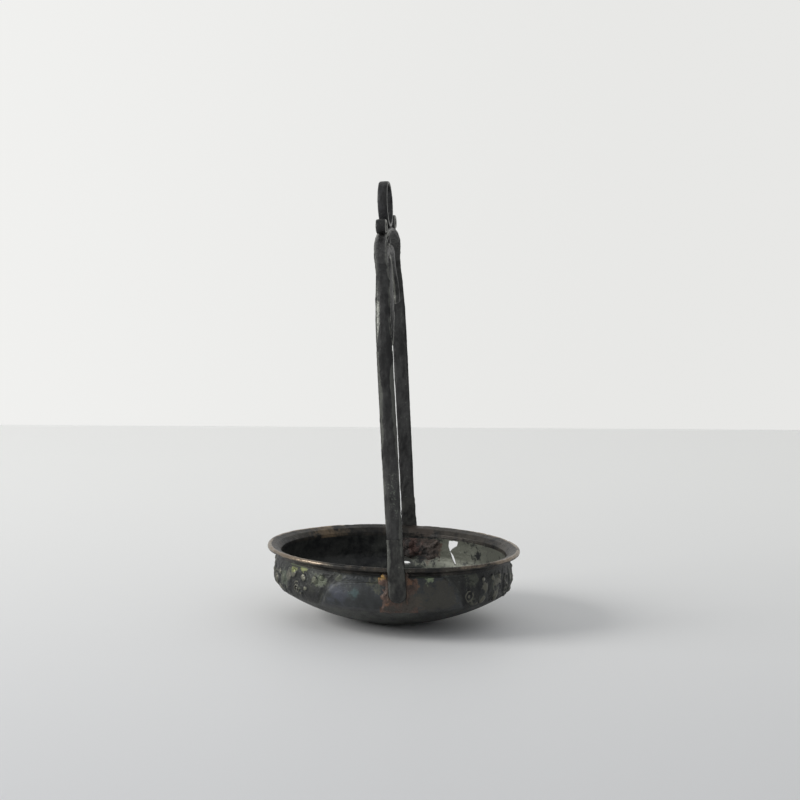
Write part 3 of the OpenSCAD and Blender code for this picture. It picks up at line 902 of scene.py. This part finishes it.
# Frieze: a panel with ringed bosses that carry hooks, upright lobes and knobs, each one a bump
# whose height falls off with distance, taken together by their maximum.
def makeFrieze(name, motifs, node):
    v, u = np.meshgrid(np.linspace(0, 1, 74), np.linspace(0, 1, 520), indexing="ij")
    height = reliefLow + (reliefHigh - reliefLow) * v
    half = saddleHalf(height) + saddle["groove"]
    border = wallAngle(half * motifs["side"] + saddle["aside"], height)
    angle = border + (motifs["side"] * 180 - 2 * border) * u
    perDegree = math.radians(1) * bellyRadius
    along = angle * perDegree
    shape = motifs["ground"] + 0 * u

    def apart(a, h):
        return np.hypot(along - a * perDegree, height - h)

    for a, h, r in motifs["rings"]:
        distance = apart(a, h)
        ring = 0.92 * np.exp(-((distance - 0.78 * r) / (0.26 * r)) ** 2)
        eye = 0.9 * smoothStep(0.46 * r - distance, -0.15 * r, 0.3 * r)
        shape = np.maximum(shape, np.maximum(ring, eye))
        for hook in motifs["hooks"]:
            line = np.array(hook) * [motifs["side"], 1] * (r / 2.7) + [a * perDegree, h]
            thread = lineDistance(along, height, evenly(line, 12))
            shape = np.maximum(shape, 0.78 * np.exp(-(thread / 0.75) ** 2))
    for a, h, wide, high in motifs["lobes"]:
        inside = 1 - (np.abs(along - a * perDegree) / wide) ** 2.6 - (np.abs(height - h) / high) ** 3.2
        bent = 0.16 * np.sin((height - h) * 1.1 + a)
        shape = np.maximum(shape, (0.78 + bent) * np.clip(inside, 0, 1) ** 0.42)
    for a, h, r in motifs["knobs"]:
        shape = np.maximum(shape, 1.1 * np.sqrt(np.clip(1 - (apart(a, h) / (1.25 * r)) ** 2, 0, 1)))
    for a, h, r in motifs["pits"]:
        shape = shape * (1 - 0.85 * np.exp(-(apart(a, h) / r) ** 2))
    if motifs["corner"]:
        a, h, r = motifs["corner"]
        shape = shape * smoothStep(apart(a, h), 0.6 * r, 1.15 * r)
    place = offWall(angle, height, 0)
    ends = smoothStep(np.minimum(u, 1 - u) * 113, 0.0, 1.6)
    rims = smoothStep(v, 0, 0.09) * smoothStep(1 - v, 0, 0.05)
    rough = 0.20 * lumps(place, 3.0, 131, 2) + 0.17 * lumps(place, 1.2, 141, 2)
    shape = np.clip((shape + rough) * ends * rims, 0.03, 1.1)
    # the raised work is lighter with wear, and the low ground is darkened as painted shade
    wearAndSheen, paintedHollowShade = smoothStep(shape, 0.35, 1.0), 0.6 - 0.6 * smoothStep(shape, 0.12, 0.45)
    piece = skinPiece(name, angle, height, (shape, -sink), reliefLook, node, wearAndSheen, paintedHollowShade)
    if motifs["side"] == 1:
        pierce(piece)


makeFrieze("relief_right", rightFrieze, "right_frieze")
makeFrieze("relief_left", leftFrieze, "left_frieze")
print("relief made")


# The copper pad under a foot: a sheet of uneven thickness whose edge sinks into the saddle.
def makePad(name, front, node):
    v, u = np.meshgrid(np.linspace(0, 1, 90), np.linspace(-1, 1, 100), indexing="ij")
    height = reliefLow + 0.3 + (reliefHigh - reliefLow - 0.3) * v
    lean = (lipTop - height) * math.sin(handleLean)
    side = handleShift + lean + u * foot["padWidth"] / 2
    angle = wallAngle(side, height, front)
    place = offWall(angle, height, 0)
    edge = np.minimum(1 - np.abs(u), np.minimum(v, 0.25 + 1 - v) * 1.6)
    cover = smoothStep(edge + 0.22 * lumps(place, 3, 151, 3), 0.06, 0.36)
    thick = foot["padBase"] + foot["padThick"] * cover * (0.86 + 0.14 * lumps(place, 2.4, 161, 2))
    thick = thick + 0.10 * lumps(place, 1.2, 171, 2) * cover
    wearAndSheen = smoothStep(thick, 1.75, 1.95)
    between = (thick, foot["padUnder"])
    piece = skinPiece(name, angle, height, between, copperLook, node, wearAndSheen)
    if not front:
        pierce(piece)


makePad("copper_pad_front", True, "front_foot_pad")
makePad("copper_pad_rear", False, "rear_foot_pad")


# Braze along both sides of a foot: a slim lumpy bead, with one blob under the lip where it swells as
# a bell curve of the height.
def makeBraze(name, front, node, swell):
    sign = 1 if front else -1
    for side in (-1, 1):
        t = np.linspace(0, 1, 90)
        z = 17.0 - lipTop + t * (neckHeight - 14.6)
        reach = smoothStep(z, neckHeight - lipTop - 1, -0.6) * 1.5
        x = wallRadius(np.minimum(z + lipTop, neckHeight)) + 1.3 + reach
        y = side * (foot["width"] / 2 + 0.1) + 0 * z
        path = onHandle(np.stack([sign * x, y, z], -1))
        bump = swell[0 if side < 0 else 1] * np.exp(-((z + lipTop - blob["at"][2]) / 1.7) ** 2)
        fat = 0.42 + 0.2 * lumps(path, 2.4, 181, 2) + bump
        fat = fat * np.sqrt(np.clip(1 - (2 * t - 1) ** 8, 0.02, 1))
        path = path + np.stack([0 * t, side * bump * 0.8, 0 * t], -1)
        across = onHandle(np.array([0, 1.0, 0])) - onHandle(np.zeros(3))
        grid = carry(path, across, [sign, 0, 0], softBox(fat * 1.2, fat * 0.9, 28, 2.4))
        grid = roughened(grid, 0.14, 1.2, 191)
        label = f"{name}_left" if side < 0 else f"{name}_right"
        tubePiece(label, grid, brazeLook, [node] if side < 0 else ())


makeBraze("braze_front", True, "front_braze", (1.35, 0.35))
makeBraze("braze_rear", False, "rear_braze", (0.4, 0.3))


# The iron plate inside the wall: a rust crust of uneven thickness with a ragged edge.
def makePlate(name, span, node):
    v, u = np.meshgrid(np.linspace(0, 1, 100), np.linspace(0, 1, 150), indexing="ij")
    low = lipTop - foot["length"] - 0.4
    height = low + (reliefHigh - low) * v
    angle = span[0] + (span[1] - span[0]) * u
    place = offWall(angle, height, -bowl["wall"])
    edge = np.minimum(np.minimum(u, 1 - u) * 1.4, np.minimum(v, 1 - v))
    cover = smoothStep(edge + 0.20 * lumps(place, 5, 201, 3), 0.05, 0.24)
    thick = cover * (0.75 + 0.45 * lumps(place, 3.4, 211, 3) + 0.18 * lumps(place, 1.1, 221, 2))
    thick = np.clip(thick, -0.15, 1.5)
    between = (-bowl["wall"] - thick, -bowl["wall"] + 0.3)
    wearAndSheen = smoothStep(thick, 1.0, 1.5)
    piece = skinPiece(name, angle, height, between, rustLook, node, wearAndSheen)
    pierce(piece)


makePlate("iron_plate_front", (-5, 12), "front_inner_plate")
makePlate("iron_plate_rear", (158, 183), "rear_inner_plate")

rivet = {"top": 8.2, "gap": 4.6, "radius": 1.1, "head": 2.1, "stands": 1.9, "length": 5.0}


# Rivets with hammered heads inside the bowl: a dome and a shank turned about a level line.
def makeRivets(name, front, node):
    sign = 1 if front else -1
    turn = np.linspace(0, tau, 40, endpoint=False)
    for number, depth in enumerate([rivet["top"], rivet["top"] + rivet["gap"]]):
        start = neckRadius - bowl["wall"] - rivet["stands"]
        t = np.linspace(0, math.pi / 2, 16)
        head = np.stack([start + 1.2 * (1 - np.cos(t)), rivet["head"] * np.sin(t)], -1)
        shank = [[start + rivet["stands"], rivet["head"] * 0.9],
                 [start + rivet["stands"] + 0.1, rivet["radius"]],
                 [start + rivet["length"], rivet["radius"]]]
        line = np.vstack([head, shank])
        line[0, 1] = 0.12
        x, r = line[:, None, 0], line[:, None, 1]
        grid = np.stack([sign * (x + 0 * turn), r * np.cos(turn), -depth + r * np.sin(turn)], -1)
        grid = onHandle(grid)
        grid = roughened(grid, 0.12, 1.6, 231 + number)
        tubePiece(f"{name}_{number + 1}", grid, rustLook, [node] if number == 0 else ())


makeRivets("rivet_front", True, "front_rivets")
makeRivets("rivet_rear", False, "rear_rivets")
print("joints to the bowl made")


# The strap's outline at each place of a path: flat inside, domed outside, with worn corners. It
# gives distances across the strap and outwards from its outer face.
def strapOutline(width, thick, count):
    box = softBox(width / 2, thick / 2, count, 7.0)
    across, out = box[..., 0], box[..., 1]
    share = across / (width[..., None] / 2)
    bevel = strap["dome"] * np.clip((np.abs(share) - 0.3) / 0.7, 0, 1) ** 1.3
    domed = out - thick[..., None] / 2 - bevel * (out > 0)
    return np.stack([across, domed], -1)


# Wear and painted sheen of a strap's flanks, on its outer face only: the flanks are lightened as if the
# bevels caught the key light. It grows sideways from the middle and is patchy.
def flankWearAndSheen(share, outerFace, along, seed):
    patch = lumps(along, 8, seed + 29, 3)
    return smoothStep(share + 0.26 * patch, 0.42, 0.92) * outerFace * (0.9 + 0.25 * patch)


# Sweeps a strap along a path of the handle's frame, then pits its skin.
def makeStrap(name, path, outward, width, thick, node, seed):
    count = 84
    outline = strapOutline(width, thick, count)
    grid = onHandle(carry(path, crossways, outward, outline))
    along = grid * [1, 1, 0.5]
    dents = np.clip(lumps(along, 2.6, seed, 2) - 0.15, 0, 1)
    push = -strap["pits"] * dents * 1.3 - 0.07 - 0.09 * lumps(along, 7, seed + 9, 2)
    push = push - 0.04 * lumps(grid, 0.9, seed + 19, 2)
    share = np.abs(outline[..., 0]) / (width[..., None] / 2)
    wearAndSheen = flankWearAndSheen(share, outline[..., 1] > -thick[..., None] * 0.75, along, seed) - dents * 0.5
    tubePiece(name, pushed(grid, push), strapLook, [node], wearAndSheen, sharp=60)


def makeLeg(name, front, node, widths, seed):
    sign = 1 if front else -1
    z = np.linspace(footRise - 0.4, springHeight + 0.3, 300)
    path = np.stack([sign * legOut + 0 * z, 0 * z, z], -1)
    width = widths[0] + (widths[1] - widths[0]) * np.linspace(0, 1, len(z))
    makeStrap(name, path, [sign, 0, 0], width, strap["thick"] + 0 * z, node, seed)


makeLeg("strap_leg_front", True, "front_leg", (strap["width"], strap["width"]), 301)
makeLeg("strap_leg_rear", False, "rear_leg", (strap["rearWidthLow"], strap["rearWidthHigh"]), 341)

haunchX = legOut - strap["haunch"]
archRise = crownTop - springHeight
crownRadius = (haunchX ** 2 + archRise ** 2 - strap["haunch"] ** 2) / (2 * (archRise - strap["haunch"]))
haunchTurn = math.atan2(crownRadius - archRise, haunchX)


# The outer line of the arch: a haunch at each side and a flatter crown between them.
def archLine(count):
    turn = np.linspace(-0.01, haunchTurn, 120)
    over = np.linspace(haunchTurn, math.pi - haunchTurn, 160)[1:-1]
    bend = strap["haunch"]
    right = np.stack([haunchX + bend * np.cos(turn), springHeight + bend * np.sin(turn)], -1)
    top = np.stack([crownRadius * np.cos(over), crownTop - crownRadius + crownRadius * np.sin(over)], -1)
    return evenly(np.vstack([right, top, (right * [-1, 1])[::-1]]), count)


def makeArch():
    line = archLine(420)
    slope = slopes(line)
    path = np.stack([line[:, 0], 0 * line[:, 0], line[:, 1]], -1)
    outward = np.stack([slope[:, 1], 0 * line[:, 0], -slope[:, 0]], -1)
    rise = smoothStep(line[:, 1], springHeight - 2, springHeight + 44)
    width = strap["width"] - 0.15 + (strap["crownWidth"] - strap["width"] + 0.15) * rise
    makeStrap("strap_arch", path, outward, width, strap["thick"] - 0.1 + 0 * width, "crown_arch", 381)


makeArch()


# A foot: it comes down outside the lip, steps in under it and lies on the pad to a round end.
def makeFoot(name, front, node, seed):
    sign = 1 if front else -1
    skin = bellyRadius + saddle["thick"] + foot["padThick"]
    t = np.linspace(0, 1, 200)
    z = footRise + (-foot["length"] - footRise) * (1 - (1 - t) ** 1.5)
    full, end = legIn + foot["thick"], skin + foot["endThick"]
    out = np.interp(-z, [-footRise, 1.2, 3.2, 6.4, 9, foot["length"]],
                    [full, full, full - 0.8, end + 0.3, end, end - 0.3])
    back = np.interp(-z, [-footRise, 1.2, 4.6, foot["length"] - 4, foot["length"]],
                     [legIn, legIn, skin - 1.0, skin - 0.5, skin - 1.2])
    kernel = np.hanning(17) / np.hanning(17).sum()
    out, back = (np.convolve(np.pad(line, 8, "edge"), kernel, "valid") for line in (out, back))
    radius = foot["width"] / 2
    tip = np.clip((-z - (foot["length"] - radius)) / radius, 0, 1)
    spread = 1 - smoothStep(z, -8, footRise)
    widest = foot["topWidth"] + (foot["width"] - foot["topWidth"]) * spread
    half = (widest / 2 - (0 if front else 0.25)) * np.sqrt(np.clip(1 - tip ** 2, 0.0015, 1))
    thin = (out - back) / 2 * (1 - 0.35 * tip ** 3)
    outline = softBox(half, thin, 76, 5.0)
    share = outline[..., 0] / half[:, None]
    outline[..., 1] = outline[..., 1] - 0.35 * share ** 2 * (outline[..., 1] > 0)
    path = np.stack([sign * (out + back) / 2, 0 * z, z], -1)
    grid = onHandle(carry(path, crossways, [sign, 0, 0], outline))
    dents = np.clip(lumps(grid, 2.8, seed, 2) - 0.1, 0, 1)
    push = -0.05 - 0.22 * dents - 0.10 * lumps(grid, 6, seed + 7, 2)
    push = push - 0.05 * lumps(grid, 1.0, seed + 13, 2)
    wearAndSheen = flankWearAndSheen(np.abs(share), outline[..., 1] > 0, grid * [1, 1, 0.5], seed)
    wearAndSheen = wearAndSheen * (0.55 + 0.45 * smoothStep(z, -4, 4))[:, None] - dents * 0.5
    tubePiece(name, pushed(grid, push), footLook, [node], wearAndSheen, sharp=60)


makeFoot("strap_foot_front", True, "front_foot", 421)
makeFoot("strap_foot_rear", False, "rear_foot", 451)
print("handle made")

ring = {"thick": 1.7, "width": 4.4, "bore": 8.7}


# The hanging ring: a band with rounded edges, thinned by wear at the top of its bore.
def makeRing():
    t = np.linspace(0, tau, 220, endpoint=False)
    outline = softBox(ring["width"] / 2 + 0 * t, ring["thick"] / 2 + 0 * t, 56, 4.5)
    out = np.stack([np.cos(t), 0 * t, np.sin(t)], -1)
    middle = np.array([0, 0, ringHeight])
    path = middle + out * (ring["bore"] + ring["thick"] / 2)
    grid = onHandle(carry(path, crossways, out, outline))
    worn = np.exp(-((t - tau / 4) / 0.5) ** 2)[:, None] * (outline[..., 1] < 0)
    push = -0.05 - 0.25 * worn - 0.07 * lumps(grid, 5, 481, 2) - 0.04 * lumps(grid, 1.1, 491, 2)
    share = np.abs(outline[..., 0]) / (ring["width"] / 2)
    wearAndSheen = smoothStep(share, 0.75, 1.0) + 0.6 * worn
    grid = pushed(grid, push, True)
    tubePiece("hanging_eye", grid, ringLook, ["hanging_ring"], wearAndSheen, True)


makeRing()

curl = {"radius": 5.1, "width": 4.8, "aside": 17.2, "from": 235, "turns": 430.0, "thick": 1.84, "eye": 1.9}


# A round shape turned about a level line across the handle, through a middle.
def turned(radius, across, middle, count):
    turn = np.linspace(0, tau, count, endpoint=False)
    r, y = radius[:, None], across[:, None]
    grid = np.stack([middle[0] + r * np.cos(turn), y + 0 * turn, middle[1] + r * np.sin(turn)], -1)
    return onHandle(grid)


# A curl: the strap's end rolled up, so the radius shrinks evenly with the turn, round an eye.
def makeCurl(name, front, node, seed):
    sign = 1 if front else -1
    t = np.linspace(0, 1, 190)
    turn = np.radians(curl["from"] - curl["turns"] * t)
    radius = curl["radius"] * (1 - 0.62 * t) - curl["thick"] / 2
    out = np.stack([sign * np.cos(turn), 0 * t, np.sin(turn)], -1)
    middle = np.array([sign * curl["aside"], 0, crownTop + 0.4])
    taper = 1 - 0.25 * t
    end = np.sqrt(np.clip(1 - (np.maximum(0, t - 0.95) / 0.05) ** 2, 0.02, 1))
    outline = softBox(curl["width"] / 2 * (1 - 0.1 * t), curl["thick"] / 2 * taper * end, 48, 3.6)
    grid = onHandle(carry(middle + out * radius[:, None], crossways, out, outline))
    push = -0.05 - 0.10 * lumps(grid, 3, seed, 2) - 0.05 * lumps(grid, 1.0, seed + 5, 2)
    share = np.abs(outline[..., 0]) / (curl["width"] / 2)
    wearAndSheen = smoothStep(share, 0.7, 0.95)
    tubePiece(name, pushed(grid, push), ornamentLook, [node], wearAndSheen)
    eyeLine = np.linspace(0, math.pi, 22)
    r = curl["eye"] * np.sin(eyeLine) ** 0.5 + 0.05
    eye = turned(r, -np.cos(eyeLine) * curl["width"] / 2, middle[[0, 2]], 36)
    tubePiece(f"{name}_eye", eye, ornamentLook, (), 0.3)


makeCurl("curl_front", True, "front_curl", 501)
makeCurl("curl_rear", False, "rear_curl", 521)

pendant = {
    "thick": 3.2,
    "boss": 4.2,
    "drop": 10.5,
    "length": 54.0,
    "width": 12.0,
    "tendrilAside": 41.0,
    "tendrilDrop": 35.5,
    "bud": 2.6,
}
bossHeight = crownTop - pendant["drop"]


# The pendant's boss: a round button on both sides, with a sunk ring, and a short stem above it.
def makeBoss():
    t = np.linspace(0, math.pi, 61)
    r = pendant["boss"] * np.sin(t) ** 0.55
    r[[0, -1]] = 0.06
    share = r / pendant["boss"]
    y = -np.sign(np.cos(t)) * pendant["thick"] / 2 * np.sqrt(np.clip(1 - share ** 4, 0, 1))
    y = y * (1 - 0.22 * np.exp(-((share - 0.62) / 0.10) ** 2))
    wearAndSheen = np.exp(-((share - 0.85) / 0.1) ** 2)[:, None]
    grid = turned(r, y, (0, bossHeight), 64)
    tubePiece("pendant_button", grid, ornamentLook, ["pendant_boss"], wearAndSheen)
    rise = np.linspace(0, 1, 40)
    low, high = bossHeight + pendant["boss"] * 0.7, crownTop - 1.2
    z = low + rise * (high - low)
    waist = 1.35 + 0.9 * (2 * rise - 1) ** 2
    path = np.stack([0 * z, 0 * z, z], -1)
    outline = softBox(waist, pendant["thick"] / 2 * (0.8 + 0.1 * waist / 2), 40, 3.0)
    grid = onHandle(carry(path, lengthways, crossways, outline))
    tubePiece("pendant_stem", grid, ornamentLook)


# The drop: a leaf with a ridge down the middle of each side. Its half width swells and shrinks as
# a sine of a power of the height.
def makeDrop():
    t = np.linspace(0, 1, 150)
    top = bossHeight - pendant["boss"] * 0.7
    low = crownTop - pendant["length"] + 0.3
    z = top + (low - top) * t
    s = 1 - t
    half = pendant["width"] / 2 * np.sin(math.pi * s ** 1.6) + 0.9 * s + 0.12
    thick = pendant["thick"] / 2 * (0.55 + 0.45 * smoothStep(half, 0.5, 4))
    thick = thick * np.sqrt(np.clip(1 - t ** 14, 0.02, 1))
    outline = softBox(half, thick, 60, 1.5)
    path = np.stack([0 * z, 0 * z, z], -1)
    grid = onHandle(carry(path, lengthways, crossways, outline))
    grid = roughened(grid, 0.05, 1.6, 541)
    # painted highlight: the ridge down the middle is lightened
    ridgeHighlight = np.exp(-(outline[..., 0] / 0.5) ** 2)
    tubePiece("pendant_leaf", grid, ornamentLook, ["pendant_drop"], ridgeHighlight)


# A tendril: a curve with four control points that ends in a round bud, with a bead on its back.
def makeTendril(name, front, node, seed):
    sign = 1 if front else -1
    start = np.array([pendant["boss"] * 0.5, bossHeight])
    tip = np.array([pendant["tendrilAside"], crownTop - pendant["tendrilDrop"]])
    leave, arrive = start + [15, 3], tip + [-3, 11]
    t = np.linspace(0, 1, 400)[:, None]
    s = 1 - t
    line = s ** 3 * start + 3 * t * s ** 2 * leave + 3 * t ** 2 * s * arrive + t ** 3 * tip
    way = (line[-1] - line[-2]) / np.linalg.norm(line[-1] - line[-2])
    bud = pendant["bud"]
    line = np.vstack([line, line[-1] + way * np.linspace(0.1, bud - 0.05, 30)[:, None]])
    line = evenly(line, 220)
    slope = slopes(line)
    run = np.linspace(0, 1, 220) * np.linalg.norm(np.diff(line, axis=0), axis=1).sum()
    fromBud = run[-1] - bud - run
    circle = np.sqrt(np.clip(bud ** 2 - fromBud ** 2, 0.004, None)) * (np.abs(fromBud) < bud)
    half = np.maximum(np.where(fromBud > 0, 1.9 - 0.7 * run / run[-1], 0), circle)
    thick = pendant["thick"] / 2 * np.minimum(1, 0.35 + half / 1.9)
    thick = thick * (1 + 0.35 * smoothStep(run, run[-1] - 22, run[-1] - 6))
    thick = np.where(fromBud < 0, thick * np.clip(half / bud + 0.1, 0, 1), thick)
    outline = softBox(half, thick, 56, 2.8)
    share = outline[..., 1] / thick[:, None]
    bead = 0.32 * np.exp(-(share / 0.26) ** 2)
    outline[..., 0] = outline[..., 0] + bead * np.sign(outline[..., 0])
    path = np.stack([sign * line[:, 0], 0 * line[:, 0], line[:, 1]], -1)
    across = np.stack([-sign * slope[:, 1], 0 * run, slope[:, 0]], -1)
    grid = onHandle(carry(path, across, crossways, outline))
    push = -0.03 - 0.07 * lumps(grid, 2.4, seed, 2) - 0.04 * lumps(grid, 0.9, seed + 3, 2)
    # painted highlight: the bead is lightened
    tubePiece(name, pushed(grid, push), ornamentLook, [node], bead * 3)


makeBoss()
makeDrop()
makeTendril("tendril_front", True, "front_tendril", 561)
makeTendril("tendril_rear", False, "rear_tendril", 581)
print("ornament made")

for tool in cutters:
    bpy.data.objects.remove(tool)

room = {
    "farEdge": ((-0.607, -0.306), (-0.729, 0.258)),
    "near": 1.6,
    "half": 2.2,
    "wallBack": -1.7,
    "wallHigh": 2.4,
}


# The floor is a sheet that ends at a far edge, and the backdrop a wall behind it.
def makeRoom():
    (x0, y0), (x1, y1) = room["farEdge"]
    t = np.linspace(-1, 1, 60)
    slant = (x1 - x0) / (y1 - y0)
    y = room["half"] * t
    far = x0 + slant * (y - y0)
    s = np.linspace(0, 1, 60)[:, None]
    x = far + (room["near"] - far) * s
    table = np.stack([x, y + 0 * x, -0.00002 + 0 * x], -1)
    z = np.linspace(-0.6, room["wallHigh"], 30)[:, None]
    wall = np.stack([room["wallBack"] + 0 * (y + z), y + 0 * z, z + 0 * y], -1)
    for name, grid, look in (("floor", table, floorLook), ("backdrop", wall, backdropLook)):
        rows, columns = grid.shape[:2]
        mesh = bpy.data.meshes.new(name)
        mesh.from_pydata(grid.reshape(-1, 3), [], gridQuads(rows, columns).tolist())
        mesh.materials.append(look)
        piece = placed(name, mesh)


# The table: pale, and a little darker towards its near side, a painted shade of the light falling off
# towards the front.
def tableLook(far, near):
    look, start = newLook("pale_table")
    place = start.add("ShaderNodeTexCoord", out=3)
    depth = start.add("ShaderNodeSeparateXYZ", None, {"Vector": place})
    tone = depth.rise(-0.7, 0.7).between(far, near)
    closeLook(start, tone, 0.6, 0.0, place.grain(1.2, 3), 0.01)
    return look


# The backdrop glows as a lit wall out of focus does, a painted light that is brighter at the left.
def wallLook(left, right):
    look, start = newLook("pale_wall")
    place = start.add("ShaderNodeTexCoord", out=3)
    across = start.add("ShaderNodeSeparateXYZ", None, {"Vector": place}, 1)
    glow = across.rise(-0.75, 0.25).between(left, right)
    sockets = {"Base Color": (0, 0, 0, 1), "Specular IOR Level": 0.0,
               "Emission Color": glow, "Emission Strength": 1.0}
    shader = start.add("ShaderNodeBsdfPrincipled", None, sockets)
    start.add("ShaderNodeOutputMaterial", None, {"Surface": shader})
    return look


floorLook = tableLook((0.97, 0.97, 0.955), (0.57, 0.577, 0.595))
backdropLook = wallLook((0.885, 0.885, 0.870), (0.805, 0.805, 0.79))
makeRoom()

lights = {
    "key": {"at": (0.55, -1.4, 0.75), "size": 0.8, "power": 21, "colour": (1.0, 0.99, 0.97)},
    "fill": {"at": (1.5, 0.7, 1.2), "size": 1.6, "power": 3, "colour": (0.96, 0.98, 1.0)},
}
targets = {"key": (0, 0, 0.03), "fill": (0, 0, 0.05)}


def makeLights():
    for name, light in lights.items():
        data = bpy.data.lights.new(name, "AREA")
        data.shape = "SQUARE"
        data.size = light["size"]
        data.energy = light["power"]
        data.color = light["colour"]
        lamp = placed(name, data)
        place, target = np.array(light["at"]), np.array(targets[name])
        back = (place - target) / np.linalg.norm(place - target)
        side = np.cross([0, 0, 1.0], back)
        side /= np.linalg.norm(side)
        lamp.matrix_world = posed(side, np.cross(back, side), back, place)
    world = bpy.data.worlds.new("studio")
    bpy.context.scene.world = world
    world.use_nodes = True
    world.node_tree.nodes.clear()
    start = Link(world.node_tree)
    sky = start.add("ShaderNodeBackground", None, {"Color": (0.96, 0.98, 1.0, 1), "Strength": 0.45})
    start.add("ShaderNodeOutputWorld", None, {"Surface": sky})


makeLights()
bpy.context.scene.view_settings.view_transform = "Standard"
print("room and lights made")
